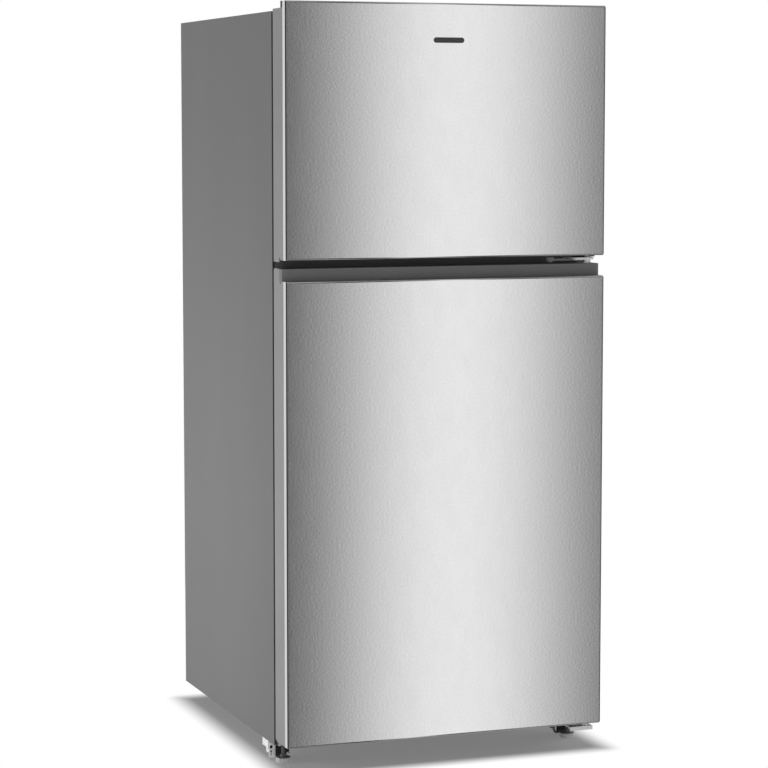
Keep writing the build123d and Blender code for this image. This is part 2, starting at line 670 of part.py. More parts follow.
def dairy_cover():
    """Clear flap that hangs from two pins and closes the dairy tray's front."""
    x0 = DAIRY_X[0] + BIN_WALL + 0.6
    x1 = DAIRY_X[1] - BIN_WALL - 0.6
    face_y = deep(BIN_START + DAIRY_DEPTH) + 0.8
    flap = block(x0, x1, face_y, face_y + 2.5, UPPER_ROW[0] + 5, DAIRY_AXIS_Z + 3)
    flap += block(x0, x1, DAIRY_AXIS_Y, face_y + 1, DAIRY_AXIS_Z + 0.5, DAIRY_AXIS_Z + 3)
    flap += block(x0 + 60, x1 - 60, face_y + 2, face_y + 8, UPPER_ROW[0] + 5, UPPER_ROW[0] + 9)
    flap += rod_x(x0, x1, DAIRY_AXIS_Y, DAIRY_AXIS_Z, 3.5)
    return flap + rod_x(DAIRY_X[0], DAIRY_X[1], DAIRY_AXIS_Y, DAIRY_AXIS_Z, DAIRY_PIN_R)


def badge():
    """Blank oval name plate on the freezer door."""
    z = FREEZER_DOOR_TOP - 81
    plate = Plane.XZ * SlotOverall(72, 12)
    return Pos(0, FRONT, z) * extrude(plate, 0.8)


# ---- inside the cabinet

def shelf_frame(top, front=SHELF_FRONT, back=SHELF_BACK, thick=SHELF_THICK):
    """Plastic shelf frame with a step that holds its glass pane."""
    frame = block(-SHELF_X, SHELF_X, front, back, top - thick, top)
    frame -= block(-SHELF_X + 24, SHELF_X - 24, front + 24, back - 24, top - thick - 1, top + 1)
    frame -= block(-SHELF_X + 12, SHELF_X - 12, front + 12, back - 12, top - GLASS, top + 1)
    return frame


def shelf_pane(top, front=SHELF_FRONT, back=SHELF_BACK):
    return block(-SHELF_X + 12, SHELF_X - 12, front + 12, back - 12, top - GLASS, top)


def crisper_cover():
    """Frame over the two crispers, with a middle runner between them."""
    cover = shelf_frame(CRISPER_COVER_TOP, CRISPER_FRONT - 8, HUMP_FRONT - 2, 22)
    cover += block(-12, 12, CRISPER_FRONT + 12, HUMP_FRONT - 20, CRISPER_COVER_TOP - 22,
                   CRISPER_COVER_TOP - GLASS)
    return cover


def shelf_glass():
    panes = [shelf_pane(top) for top in SHELF_TOPS]
    panes.append(shelf_pane(CRISPER_COVER_TOP, CRISPER_FRONT - 8, HUMP_FRONT - 2))
    return panes


def crisper():
    """Right-hand crisper drawer with a rolled front grip."""
    x0, x1 = CRISPER_INNER_X, CRISPER_OUTER_X
    y0, y1 = CRISPER_FRONT, CRISPER_BACK
    z0, z1 = CRISPER_BOTTOM, CRISPER_TOP
    tub = round_uprights(block(x0, x1, y0, y1, z0, z1), 10, lambda c: c.Y > y1 - 1)
    room = block(x0 + 3, x1 - 3, y0 + 5, y1 - 3, z0 + 3, z1 + 1)
    room = round_uprights(room, 8, lambda c: True)
    tub -= room
    tub -= block(x0 + 60, x1 - 60, y0 - 1, y0 + 2.5, z1 - 34, z1 - 10)
    grip = block(x0 + 60, x1 - 60, y0 - 6, y0 + 1, z1 - 10, z1)
    return tub + grip


def freezer_shelf():
    """Welded wire shelf that hangs on the freezer's side ledges."""
    z = FREEZER_SHELF_Z
    y0, y1 = -210, 270
    rods = [rod_x(-SHELF_X + 6, SHELF_X - 6, y, z, 3) for y in (y0 + 5, 30, y1 - 5)]
    wires = 17
    for step in range(wires):
        x = (SHELF_X - 12) * (2 * step / (wires - 1) - 1)
        rods.append(rod_y(x, y0, y1, z + 2.6, 1.9))
    return rods[0].fuse(*rods[1:])


def evaporator_cover():
    """Rear panel of the freezer with the fan grille above and the air return below."""
    y = EVAPORATOR_COVER_Y
    half = SHELF_X
    cover = block(-half, half, y, y + 3, FREEZER_FLOOR + 1, FREEZER_CEILING - 1)
    cover += block(-half, half, y, y + 12, FREEZER_CEILING - 4, FREEZER_CEILING - 1)
    for row in range(-4, 5):
        reach = math.sqrt(EVAPORATOR_FAN_R ** 2 - (row * 10.5) ** 2)
        z = EVAPORATOR_FAN_Z + row * 10.5
        cover -= block(-reach, reach, y - 1, y + 4, z - 3, z + 3)
    for step in range(-9, 10):
        x = step * 32
        cover -= block(x - 11, x + 11, y - 1, y + 4, FREEZER_FLOOR + 14, FREEZER_FLOOR + 30)
    return cover


def fan_blade(radius, hub_r, depth, blades, bore):
    """Axial fan about Z, centred on the origin, with pitched flat blades."""
    fan = Cylinder(hub_r, depth)
    reach = radius - hub_r
    for step in range(blades):
        blade = Pos(hub_r + reach / 2 - 1, 0, 0) * Rot(32, 0, 0) * Box(reach, radius * 0.62, 1.8)
        fan += Rot(0, 0, 360 * step / blades) * blade
    fan &= Cylinder(radius, depth * 2)
    return fan - Cylinder(bore, depth * 2)


def evaporator_fan_blade():
    place = Pos(0, EVAPORATOR_FAN_Y, EVAPORATOR_FAN_Z) * Rot(90, 0, 0)
    return place * fan_blade(EVAPORATOR_FAN_R - 4, 13, 14, 5, 2.05)


def evaporator_fan_motor():
    """Motor with its shaft forward and a strap that screws to the cover's back."""
    y = EVAPORATOR_FAN_Y
    z = EVAPORATOR_FAN_Z
    motor = rod_y(0, y + 16, y + 44, z, 22)
    motor += rod_y(0, y - 6, y + 17, z, 2)
    motor += block(-62, 62, y + 20, y + 23, z - 9, z + 9)
    for side in (-1, 1):
        motor += block(side * 60 - 2, side * 60 + 2, EVAPORATOR_COVER_Y + 3, y + 23, z - 9, z + 9)
    return motor


def serpentine(points, bend, radius):
    """Tube that follows straight runs joined by tangent arcs."""
    path = FilletPolyline(*points, radius=bend)
    start = path @ 0
    section = Plane(origin=start, z_dir=path % 0) * Circle(radius)
    return sweep(section, path=path)


def evaporator_coil():
    """Finned coil behind the freezer's rear panel, as one brazed piece."""
    y = 330
    rows = 5
    pitch = 34
    z0 = 1222
    points = []
    for row in range(rows):
        ends = (-270, 270) if row % 2 == 0 else (270, -270)
        for x in ends:
            points.append((x, y, z0 + row * pitch))
    coil = serpentine(points, 15, 4)
    for step in range(-11, 12):
        x = step * 22
        coil += block(x - 0.4, x + 0.4, y - 22, y + 22, z0 - 12, z0 + (rows - 1) * pitch + 12)
    return coil


def control_housing():
    """Ceiling housing of the fridge with the dial's seat and the air outlets."""
    housing = block(-120, 120, -120, 100, 1045, FRIDGE_CEILING)
    lower = [edge for edge in housing.edges() if edge.center().Z < 1046]
    housing = fillet(lower, 6)
    housing -= block(-114, 114, -112, 94, 1050, FRIDGE_CEILING - 3)
    housing -= rod_y(DIAL_X, -121, -110, DIAL_Z, 3 + PIN_CLEARANCE)
    for step in range(6):
        x = -20 + step * 22
        housing -= block(x, x + 14, -121, -111, 1058, 1072)
    return housing


def temperature_dial():
    """Turning knob with a grip bar and a shaft into the housing."""
    knob = rod_y(DIAL_X, -133, -120.6, DIAL_Z, 15)
    knob = fillet(knob.edges().sort_by(Axis.Y)[0], 1.5)
    knob += block(DIAL_X - 2.5, DIAL_X + 2.5, -139, -132, DIAL_Z - 13, DIAL_Z + 13)
    return knob + rod_y(DIAL_X, -121, -112, DIAL_Z, 3)


def light_lens():
    lens = block(25, 105, -70, 50, 1040, 1045)
    return fillet([edge for edge in lens.edges() if edge.center().Z < 1041], 2)


# ---- machine space

def compressor():
    """Hermetic compressor: welded can, mounting feet and terminal box."""
    x, y = -210, 335
    can = rod_z(x, y, 62, 196, 68)
    can = fillet(can.edges().filter_by(GeomType.CIRCLE), 26)
    seam = rod_z(x, y, 118, 124, 71)
    feet = block(x - 78, x + 78, y - 22, y + 22, 58, 66)
    box = block(x + 60, x + 92, y - 24, y + 24, 96, 150)
    compressor_part = can + seam + feet + box
    for foot_x in (-274, -146):
        compressor_part += rod_z(foot_x, y, 48, 60, 9)
    return compressor_part


def condenser_coil():
    """Tube folded to and fro in two layers, with a line that leads to the compressor."""
    points = []
    levels = 5
    for level in range(levels):
        z = 108 + level * 30
        ends = (70, 330) if level % 2 == 0 else (330, 70)
        points += [(x, 300, z) for x in ends]
    for level in reversed(range(levels)):
        z = 108 + level * 30
        ends = (330, 70) if level % 2 == 0 else (70, 330)
        points += [(x, 352, z) for x in ends]
    points[-1] = (-40, 352, 108)
    return serpentine(points, 13, 3)


def condenser_fan_blade():
    place = Pos(CONDENSER_FAN_X, CONDENSER_FAN_Y, CONDENSER_FAN_Z) * Rot(0, 90, 0)
    return place * fan_blade(62, 16, 18, 5, 2.05)


def condenser_fan_motor():
    """Motor on a stand from the base plate, with its shaft towards the coil."""
    x, y, z = CONDENSER_FAN_X, CONDENSER_FAN_Y, CONDENSER_FAN_Z
    motor = rod_x(x - 56, x - 18, y, z, 24)
    motor += rod_x(x - 20, x + 8, y, z, 2)
    motor += block(x - 44, x - 38, y - 16, y + 16, 48, z)
    motor += block(x - 60, x - 22, y - 30, y + 30, 48, 51)
    return motor


def drain_pan():
    """Tray that catches defrost water under the condenser."""
    pan = block(60, 350, 262, 396, 56, 86)
    pan = fillet(pan.edges().filter_by(Axis.Z), 12)
    room = block(63, 347, 265, 393, 59, 87)
    room = fillet(room.edges().filter_by(Axis.Z), 9)
    feet = block(80, 100, 270, 390, 48, 57) + block(310, 330, 270, 390, 48, 57)
    return pan - room + feet


def machine_cover():
    """Perforated rear cover of the machine space."""
    half = HALF_WIDTH - SHEET - 0.5
    cover = block(-half, half, BACK - 1.5, BACK, 50, MACHINE_TOP - 1)
    for row in range(2):
        for step in range(-9, 10):
            x = step * 36
            z = 96 + row * 96
            cover -= block(x - 5, x + 5, BACK - 3, BACK + 1, z, z + 60)
    return cover - rod_y(GLAND_X, BACK - 3, BACK + 1, GLAND_Z, 10)


def cord_gland():
    """Grommet in the rear cover that the supply cord would pass through."""
    gland = rod_y(GLAND_X, BACK - 14, BACK, GLAND_Z, 9.8)
    gland += rod_y(GLAND_X, BACK - 6, BACK - 1.6, GLAND_Z, 13)
    return gland - rod_y(GLAND_X, BACK - 15, BACK + 1, GLAND_Z, 4)


# ---- all nodes

def nodes():
    right_panel = side_panel()
    right_bracket = front_bracket()
    right_leg = leveling_leg()
    right_front_roller = front_roller()
    right_rear_roller = rear_roller()
    right_crisper = crisper()
    return {
        "side_panel_left": mirrored(right_panel),
        "side_panel_right": right_panel,
        "top_panel": top_panel(),
        "back_panel": back_panel(),
        "cabinet_foam": cabinet_foam(),
        "freezer_liner": freezer_liner(),
        "fridge_liner": fridge_liner(),
        "mullion_rail": mullion_rail(),
        "bottom_deck": bottom_deck(),
        "front_brackets": [mirrored(right_bracket), right_bracket],
        "rear_base_plate": rear_base_plate(),
        "top_hinge": top_hinge(),
        "top_hinge_cover": top_hinge_cover(),
        "middle_hinge": middle_hinge(),
        "bottom_hinge": bottom_hinge(),
        "hinge_screws": hinge_screws(),
        "evaporator_cover": evaporator_cover(),
        "evaporator_coil": evaporator_coil(),
        "evaporator_fan_motor": evaporator_fan_motor(),
        "evaporator_fan_blade": evaporator_fan_blade(),
        "control_housing": control_housing(),
        "temperature_dial": temperature_dial(),
        "light_lens": light_lens(),
        "shelf_frames": [shelf_frame(top) for top in SHELF_TOPS],
        "shelf_glass": shelf_glass(),
        "crisper_cover": crisper_cover(),
        "crisper_left": mirrored(right_crisper),
        "crisper_right": right_crisper,
        "freezer_shelf": freezer_shelf(),
        "compressor": compressor(),
        "condenser_coil": condenser_coil(),
        "condenser_fan_motor": condenser_fan_motor(),
        "condenser_fan_blade": condenser_fan_blade(),
        "drain_pan": drain_pan(),
        "machine_cover": machine_cover(),
        "cord_gland": cord_gland(),
        "leveling_leg_left": mirrored(right_leg),
        "leveling_leg_right": right_leg,
        "front_roller_left": mirrored(right_front_roller),
        "front_roller_right": right_front_roller,
        "rear_roller_left": mirrored(right_rear_roller),
        "rear_roller_right": right_rear_roller,
        "freezer_door_skin": door_skin(FREEZER_DOOR_BOTTOM, FREEZER_DOOR_TOP),
        "freezer_door_side_trims": freezer_side_trims(),
        "freezer_door_foam": door_foam(FREEZER_DOOR_BOTTOM, FREEZER_DOOR_TOP,
                                       FREEZER_DOOR_BOTTOM + CAP_HEIGHT + 9,
                                       FREEZER_REAR_TOP - CAP_HEIGHT - CAP_WALL, *FREEZER_DIKE),
        "freezer_door_liner": door_liner(FREEZER_REAR_BOTTOM, FREEZER_REAR_TOP, *FREEZER_DIKE),
        "freezer_door_top_cap": freezer_top_cap(),
        "freezer_door_bottom_cap": freezer_bottom_cap(),
        "freezer_door_gasket": gasket(1140, 1672),
        "freezer_door_bins": freezer_door_bins(),
        "badge": badge(),
        "fridge_door_skin": door_skin(FRIDGE_DOOR_BOTTOM, FRIDGE_DOOR_TOP),
        "fridge_door_side_trims": fridge_side_trims(),
        "fridge_door_foam": door_foam(FRIDGE_DOOR_BOTTOM, FRIDGE_DOOR_TOP, FRIDGE_DOOR_BOTTOM + 32,
                                      FRIDGE_DOOR_TOP - CAP_HEIGHT, *FRIDGE_DIKE),
        "fridge_door_liner": door_liner(FRIDGE_DOOR_BOTTOM + 4, GRIP_TOP - 4, *FRIDGE_DIKE),
        "fridge_door_top_cap": fridge_top_cap(),
        "fridge_door_bottom_cap": fridge_bottom_cap(),
        "fridge_door_gasket": gasket(72, 1109),
        "fridge_door_bins": fridge_door_bins(),
        "dairy_cover": dairy_cover(),
    }


def main():
    os.makedirs("parts", exist_ok=True)
    for name, shape in nodes().items():
        if isinstance(shape, list):
            shape = Compound(children=shape)
        export_step(shape, os.path.join("parts", name + ".step"))


main()
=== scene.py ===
import bmesh
import bpy
import json
import math
from mathutils import Euler, Matrix, Vector


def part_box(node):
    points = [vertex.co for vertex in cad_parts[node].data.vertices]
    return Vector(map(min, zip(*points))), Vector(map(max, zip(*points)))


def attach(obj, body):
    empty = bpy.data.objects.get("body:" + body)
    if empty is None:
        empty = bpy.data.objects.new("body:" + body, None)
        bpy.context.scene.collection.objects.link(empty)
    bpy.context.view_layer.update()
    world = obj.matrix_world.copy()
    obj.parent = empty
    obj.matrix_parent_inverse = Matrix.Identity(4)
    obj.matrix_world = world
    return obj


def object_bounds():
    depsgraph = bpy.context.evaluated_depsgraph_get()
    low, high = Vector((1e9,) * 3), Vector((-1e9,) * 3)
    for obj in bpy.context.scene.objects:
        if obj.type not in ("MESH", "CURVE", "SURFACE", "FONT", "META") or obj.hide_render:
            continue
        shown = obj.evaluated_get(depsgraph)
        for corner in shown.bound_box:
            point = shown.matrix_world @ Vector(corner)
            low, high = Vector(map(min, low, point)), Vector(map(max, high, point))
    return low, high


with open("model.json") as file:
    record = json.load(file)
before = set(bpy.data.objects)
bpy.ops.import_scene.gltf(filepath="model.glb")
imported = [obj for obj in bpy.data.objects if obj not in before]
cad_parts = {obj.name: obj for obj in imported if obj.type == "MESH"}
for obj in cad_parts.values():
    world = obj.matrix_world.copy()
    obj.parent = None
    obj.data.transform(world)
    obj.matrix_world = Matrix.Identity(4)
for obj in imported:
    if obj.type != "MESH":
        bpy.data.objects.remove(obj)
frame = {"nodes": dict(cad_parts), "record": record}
NODES = frame["nodes"]
CAD_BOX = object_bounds()
LOW, HIGH = CAD_BOX

# ---- driving values, in metres and degrees
SIDE_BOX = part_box("side_panel_right")
CABINET_FRONT = SIDE_BOX[0][1]
HALF_WIDTH = HIGH[0]

CAMERA_PLACE = (-2.116, -5.795, 1.428)
CAMERA_HEADING = 20.05
CAMERA_PITCH = 5.655
CAMERA_LENS = 122.3

# Strips of the studio, as azimuth from -Y towards +X, width and height of each bell.
STRIPS = (
    (21.67, 2.06, 0.955),
    (-0.3, 2.3, 0.7),
    (-44.0, 2.4, 0.65),
    (45.0, 6.0, 0.5),
    (-166.0, 11.0, 0.75),
    (135.0, 14.0, 0.5),
    (100.0, 9.0, 0.4),
)
STRIP_POWER = 2.43
STUDIO_LEVEL = 0.02
OVERHEAD_LEVEL = 0.2
OVERHEAD_RISE = (0.35, 0.8)
AMBIENT_LEVEL = 0.2

# Area lights round the part: name, place, aim, side of the square and watts.
STUDIO_LIGHTS = (
    ("overhead", (0, 0.2, 4.5), (0, 0, 0), 3.5, 170),
    ("left_fill", (-1.6, 0.2, 0.5), (-0.37, 0.2, 0.5), 0.6, 13),
    ("front_fill", (-1.5, -5.0, 2.5), (0, 0, 0.9), 3.0, 60),
    ("right_fill", (1.6, 0.2, 0.5), (0.37, 0.2, 0.5), 0.6, 11),
)
FRIDGE_LAMP = (0.3, 1.6)
FREEZER_LAMP = (0.4, 0.8)

# The painted shadow: where it fades, as distance past the footprint, and its glow.
SHADOW_EDGE = (-0.015, 0.056)
SHADOW_LEVEL = 0.175
FLOOR_REACH = 40.0

# Painted shade as dark strips, and ticks of the looks.
GAP_SHADE_INSET = (0.0006, 0.0052)
GAP_SHADE_DEPTH = 0.0012
GAP_SHADE_END = 0.002
FOLD_LINE = 0.0024
FOLD_INSET = 0.0003
FOLD_END = 0.003
DIAL_TICKS = 7
DIAL_TICK_SIZE = (0.0012, 0.0004, 0.004)
DIAL_TICK_RADIUS = 0.0195

# Places past which painted shade darkens the brackets and the legs.
BEHIND_EAR = 0.1435
OUTER_FACE = 0.0065
LEG_DISC_TOP = 0.0105

WELD_DISTANCE = 0.00001
EDGE_WIDTH = 0.0006
EDGE_WIDTHS = {
    "side_panel_left": 0.0004,
    "side_panel_right": 0.0004,
    "freezer_door_skin": 0.0003,
    "fridge_door_skin": 0.0003,
}


# ---- node helpers

def new_material(name, **values):
    """Material with one Principled shader; values go straight to its sockets."""
    material = bpy.data.materials.new(name)
    material.use_nodes = True
    shader = material.node_tree.nodes["Principled BSDF"]
    for socket, value in values.items():
        shader.inputs[socket.replace("_", " ")].default_value = value
    return material, material.node_tree, shader


def gray(value, tint=(1.0, 1.0, 1.0)):
    return (value * tint[0], value * tint[1], value * tint[2], 1.0)


def add(tree, kind, **settings):
    node = tree.nodes.new(kind)
    for name, value in settings.items():
        if name in node.inputs:
            node.inputs[name].default_value = value
        else:
            setattr(node, name, value)
    return node


def stretched(tree, scale):
    """Object coordinates, scaled differently along each axis."""
    place = add(tree, "ShaderNodeTexCoord")
    mapping = add(tree, "ShaderNodeMapping")
    mapping.inputs["Scale"].default_value = scale
    tree.links.new(place.outputs["Object"], mapping.inputs["Vector"])
    return mapping.outputs["Vector"]


def noise(tree, scale, stretch=(1, 1, 1), detail=3.0, roughness=0.55):
    texture = add(tree, "ShaderNodeTexNoise", Scale=scale, Detail=detail, Roughness=roughness)
    tree.links.new(stretched(tree, stretch), texture.inputs["Vector"])
    return texture.outputs["Fac"]


def ramp(tree, source, stops):
    """Colour ramp over a value, from (place, gray or colour) stops."""
    node = tree.nodes.new("ShaderNodeValToRGB")
    elements = node.color_ramp.elements
    while len(elements) < len(stops):
        elements.new(0.5)
    for element, (place, value) in zip(elements, stops):
        element.position = place
        element.color = value if isinstance(value, tuple) else gray(value)
    tree.links.new(source, node.inputs["Fac"])
    return node.outputs["Color"]


def bump(tree, shader, source, strength, distance):
    node = add(tree, "ShaderNodeBump", Strength=strength, Distance=distance)
    tree.links.new(source, node.inputs["Height"])
    tree.links.new(node.outputs["Normal"], shader.inputs["Normal"])
    return node


def math_node(tree, operation, *values):
    """Math node over sockets or numbers; returns its output."""
    node = add(tree, "ShaderNodeMath", operation=operation)
    for socket, value in zip(node.inputs, values):
        if isinstance(value, (int, float)):
            socket.default_value = value
        else:
            tree.links.new(value, socket)
    return node.outputs["Value"]


# ---- materials

def stainless(name="stainless_front"):
    """Brushed stainless steel with fine short grain."""
    material, tree, shader = new_material(name, Metallic=1.0, Roughness=0.085)
    grain = noise(tree, 198, (0.85, 1.0, 1.0), 2.0, 0.5)
    cloud = noise(tree, 40, (1.0, 1.0, 0.5), 2.0, 0.5)
    colour = ramp(tree, grain, ((0.3, gray(0.86)), (0.7, gray(0.90))))
    tree.links.new(colour, shader.inputs["Base Color"])
    rough = ramp(tree, cloud, ((0.3, 0.08), (0.7, 0.09)))
    tree.links.new(rough, shader.inputs["Roughness"])
    bump(tree, shader, grain, 0.2, 0.0001)
    return material


def painted_side():
    """Textured gray paint on steel: fine orange peel."""
    material, tree, shader = new_material("painted_side", Roughness=0.42)
    peel = noise(tree, 900, (1, 1, 1), 3.0, 0.6)
    tone = noise(tree, 6, (1, 1, 0.4), 2.0, 0.5)
    colour = ramp(tree, tone, ((0.3, gray(0.127)), (0.7, gray(0.134))))
    tree.links.new(colour, shader.inputs["Base Color"])
    bump(tree, shader, peel, 0.25, 0.0002)
    return material


def moulded(name, value, rough=0.4, tint=(1, 1, 1), grain=0.2, scale=1400, **more):
    """Moulded plastic with a fine spark-eroded grain and slight tone changes."""
    material, tree, shader = new_material(name, Roughness=rough, **more)
    fine = noise(tree, scale, (1, 1, 1), 2.0, 0.6)
    tone = noise(tree, 9, (1, 1, 1), 3.0, 0.5)
    colour = ramp(tree, tone, ((0.3, gray(value * 0.96, tint)), (0.7, gray(value * 1.04, tint))))
    tree.links.new(colour, shader.inputs["Base Color"])
    bump(tree, shader, fine, grain, 0.0001)
    return material


def metal(name, value, rough, grain_scale=300, stretch=(1, 1, 1), strength=0.1, tint=(1, 1, 1), body=1.0):
    """Bare metal, or plating with a matt bloom where body is low; mottled tone and roughness."""
    material, tree, shader = new_material(name, Metallic=body, Roughness=rough)
    spangle = noise(tree, grain_scale, stretch, 3.0, 0.6)
    colour = ramp(tree, spangle, ((0.3, gray(value * 0.88, tint)), (0.7, gray(value * 1.08, tint))))
    tree.links.new(colour, shader.inputs["Base Color"])
    rougher = ramp(tree, spangle, ((0.3, rough * 0.8), (0.7, rough * 1.25)))
    tree.links.new(rougher, shader.inputs["Roughness"])
    bump(tree, shader, spangle, strength, 0.0002)
    return material


def plating(name):
    """Bright zinc plating with a matt bloom."""
    return metal(name, 0.92, 0.38, 500, (1, 1, 1), 0.05, body=0.2)


def painted_shade(material, rules, value):
    """Painted shade: paints dark, and not metallic, the places of a metal that meet every (axis,
    comparison, limit).
    """
    tree = material.node_tree
    shader = tree.nodes["Principled BSDF"]
    place = add(tree, "ShaderNodeSeparateXYZ")
    tree.links.new(add(tree, "ShaderNodeTexCoord").outputs["Object"], place.inputs["Vector"])
    shade_mask = None
    for axis, comparison, limit in rules:
        source = place.outputs[axis]
        if comparison == "LESS_THAN":
            source = math_node(tree, "ABSOLUTE", source)
        test = math_node(tree, comparison, source, limit)
        shade_mask = test if shade_mask is None else math_node(tree, "MULTIPLY", shade_mask, test)
    mix = add(tree, "ShaderNodeMix", data_type="RGBA")
    tree.links.new(shade_mask, mix.inputs["Factor"])
    tree.links.new(shader.inputs["Base Color"].links[0].from_socket, mix.inputs["A"])
    mix.inputs["B"].default_value = gray(value)
    tree.links.new(mix.outputs["Result"], shader.inputs["Base Color"])
    bare = math_node(tree, "SUBTRACT", 1.0, shade_mask)
    dull = math_node(tree, "MULTIPLY", bare, shader.inputs["Metallic"].default_value)
    tree.links.new(dull, shader.inputs["Metallic"])
    return material


def clear(name, tint, rough=0.05, weight=0.9):
    """Clear moulded plastic or glass with faint flow marks."""
    material, tree, shader = new_material(name, Roughness=rough, IOR=1.49)
    shader.inputs["Transmission Weight"].default_value = weight
    flow = noise(tree, 14, (1, 1, 1), 2.0, 0.5)
    colour = ramp(tree, flow, ((0.3, gray(0.9, tint)), (0.7, gray(1.0, tint))))
    tree.links.new(colour, shader.inputs["Base Color"])
    bump(tree, shader, flow, 0.05, 0.0005)
    return material


MATERIALS = {
    "stainless_front": stainless(),
    "painted_side": painted_side(),
    "galvanised": metal("galvanised", 0.62, 0.35, 160, (1, 1, 1), 0.15),
    "zinc_screws": metal("zinc_screws", 0.7, 0.25, 500),
    "insulation_foam": moulded("insulation_foam", 0.7, 0.9, (1.0, 0.9, 0.68), 0.8, 500),
    "white_liner": moulded("white_liner", 0.82, 0.3, (0.985, 0.99, 1.0), 0.08),
    "door_trim": moulded("door_trim", 0.23, 0.42),
    "dark_cap": moulded("dark_cap", 0.045, 0.5),
    "grip_cap": moulded("grip_cap", 0.15, 0.42),
    "hinge_cover": moulded("hinge_cover", 0.2, 0.45),
    "seal": moulded("seal", 0.09, 0.6),
    "badge_metal": metal("badge_metal", 0.16, 0.25, 400),
    "clear_plastic": clear("clear_plastic", (0.97, 0.99, 1.0)),
    "shelf_plastic": moulded("shelf_plastic", 0.75, 0.3, (0.98, 0.99, 1.0), 0.1),
    "shelf_pane": clear("shelf_pane", (0.9, 0.97, 0.95), 0.02, 1.0),
    "coated_wire": moulded("coated_wire", 0.82, 0.25, (1, 1, 1), 0.05),
    "finned_aluminium": metal("finned_aluminium", 0.75, 0.3, 220),
    "black_paint": moulded("black_paint", 0.02, 0.35),
    "black_plastic": moulded("black_plastic", 0.03, 0.5),
    "cover_steel": moulded("cover_steel", 0.12, 0.5),
    "dial_plastic": moulded("dial_plastic", 0.6, 0.35),
    "roller_plastic": moulded("roller_plastic", 0.035, 0.5),
    # Painted shade: the top of each leg's disc and the stud above it are painted dark gray and not
    # metallic.
    "leg_metal": painted_shade(metal("leg_metal", 0.9, 0.35, 300, body=0.35),
                          (("Z", "GREATER_THAN", LEG_DISC_TOP),), 0.12),
}


def finish_cad_nodes():
    """Gives each CAD node its slot's material and softens its sharp edges."""
    shade_behind_ear = (
        ("Y", "GREATER_THAN", LOW[1] + BEHIND_EAR),
        ("X", "LESS_THAN", HALF_WIDTH - OUTER_FACE),
    )
    hinge_plating = plating("hinge_plating")
    own = dict.fromkeys(("middle_hinge", "bottom_hinge", "hinge_screws"), hinge_plating)
    # Painted shade: the faces of the front brackets behind the ear are painted near black and not
    # metallic.
    own["front_brackets"] = painted_shade(plating("bracket_plating_painted_shade"), shade_behind_ear, 0.03)
    slots = {row["node"]: row["material_slot"] for row in frame["record"]["subparts"]}
    for name, obj in NODES.items():
        obj.data.materials.clear()
        obj.data.materials.append(own.get(name, MATERIALS[slots[name]]))
        if "foam" in name:
            continue
        weld = obj.modifiers.new("weld", "WELD")
        weld.merge_threshold = WELD_DISTANCE
        soften = obj.modifiers.new("soften", "BEVEL")
        soften.width = EDGE_WIDTHS.get(name, EDGE_WIDTH)
        soften.segments = 2
        soften.limit_method = "ANGLE"
        soften.angle_limit = math.radians(40)
        soften.harden_normals = True


# ---- small pieces that only the looks need

def new_piece(name, parts, slot, body):
    """One mesh piece from (corner, corner) boxes, riding on a body."""
    shape = bmesh.new()
    for low, high in parts:
        size = [b - a for a, b in zip(low, high)]
        centre = [(a + b) / 2 for a, b in zip(low, high)]
        matrix = Matrix.Translation(centre) @ Matrix.Diagonal((*size, 1.0))
        bmesh.ops.create_cube(shape, size=1.0, matrix=matrix)
    return joined_piece(name, shape, slot, body)


def joined_piece(name, shape, slot, body):
    mesh = bpy.data.meshes.new(name)
    shape.to_mesh(mesh)
    shape.free()
    mesh.materials.append(MATERIALS[slot])
    piece = bpy.data.objects.new(name, mesh)
    bpy.context.scene.collection.objects.link(piece)
    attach(piece, body)
    return piece


def make_gap_shade():
    """Painted shade: black strips along the cabinet's front edges, put into the gap beside the doors to
    darken it.
    """
    for side, name in ((-1, "gap_shade_left"), (1, "gap_shade_right")):
        xs = sorted(side * (HALF_WIDTH - inset) for inset in GAP_SHADE_INSET)
        low = (xs[0], CABINET_FRONT - GAP_SHADE_DEPTH, SIDE_BOX[0][2] + GAP_SHADE_END)
        high = (xs[1], CABINET_FRONT, SIDE_BOX[1][2] - GAP_SHADE_END)
        new_piece(name, [(low, high)], "black_plastic", "cabinet")


def make_fold_shade():
    """Painted shade: a black strip in the fold of each door's front at its two upright edges."""
    for node, body in (("freezer_door_skin", "freezer_door"), ("fridge_door_skin", "fridge_door")):
        low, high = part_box(node)
        boxes = []
        for side in (-1, 1):
            xs = sorted(side * (HALF_WIDTH - inset) for inset in (FOLD_INSET, FOLD_LINE))
            start = (xs[0], low[1] + FOLD_INSET, low[2] + FOLD_END)
            end = (xs[1], low[1] + FOLD_LINE, high[2] - FOLD_END)
            boxes.append((start, end))
        new_piece(node.replace("skin", "fold_shade"), boxes, "black_plastic", body)


def make_dial_marks():
    """Seven plain ticks round the temperature dial."""
    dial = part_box("temperature_dial")
    x = (dial[0][0] + dial[1][0]) / 2
    z = (dial[0][2] + dial[1][2]) / 2
    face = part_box("control_housing")[0][1]
    shape = bmesh.new()
    tick = Matrix.Diagonal((*DIAL_TICK_SIZE, 1))
    for step in range(DIAL_TICKS):
        angle = math.radians(-135 + 45 * step)
        turn = Matrix.Rotation(angle, 4, "Y")
        place = Matrix.Translation((x, face, z)) @ turn @ Matrix.Translation((0, 0, DIAL_TICK_RADIUS))
        bmesh.ops.create_cube(shape, size=1.0, matrix=place @ tick)
    joined_piece("dial_marks", shape, "black_plastic", "cabinet")


# ---- camera, lights and stage

def make_camera():
    data = bpy.data.cameras.new("camera")
    data.lens = CAMERA_LENS
    camera = bpy.data.objects.new("camera", data)
    bpy.context.scene.collection.objects.link(camera)
    camera.location = CAMERA_PLACE
    camera.rotation_euler = Euler((math.radians(90 - CAMERA_PITCH), 0, math.radians(-CAMERA_HEADING)))
    data.clip_end = 50
    bpy.context.scene.camera = camera


